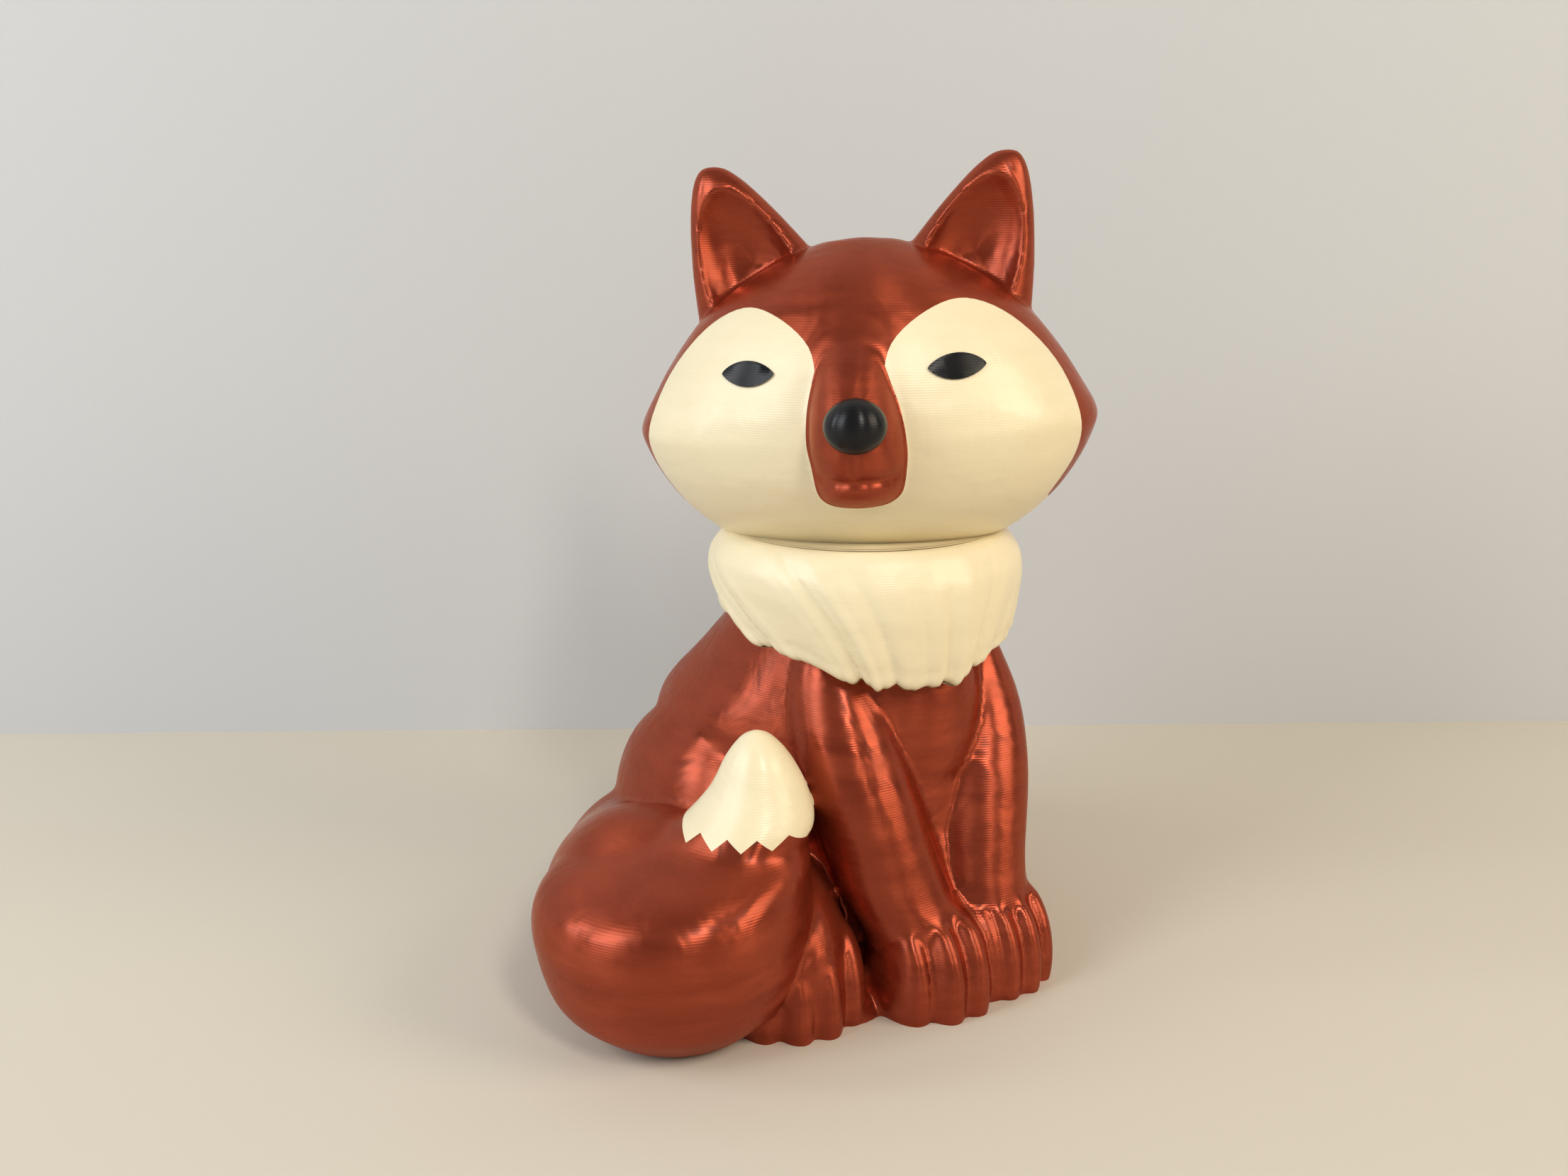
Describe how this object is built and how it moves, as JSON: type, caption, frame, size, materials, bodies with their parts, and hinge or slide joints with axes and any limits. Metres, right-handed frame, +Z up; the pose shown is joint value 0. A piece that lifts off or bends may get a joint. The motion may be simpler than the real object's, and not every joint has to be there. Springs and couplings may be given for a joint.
{
  "type": "fox figurine",
  "caption": "Small sitting fox ornament in coloured plastic, with a tail wrapped round one side, a turned head, a let-in pale face, a ruff and a pale tail tip.",
  "frame": {"origin": "on the flat underside, straight below the middle of the neck", "axes": "+Z up, the body faces -Y and the fox's right side is at -X"},
  "size_m": [0.0838, 0.0757, 0.1102],
  "materials": {
    "rust_plastic": "silky rust red with fine level print lines",
    "cream_plastic": "glossy warm cream",
    "black_plastic": "glossy black"
  },
  "bodies": {
    "root": {"body": "rust_plastic", "tail_tip": "cream_plastic", "ruff": "cream_plastic", "head": "rust_plastic", "face_mask": "cream_plastic", "eye_right": "black_plastic", "eye_left": "black_plastic", "nose": "black_plastic"}
  },
  "joints": []
}
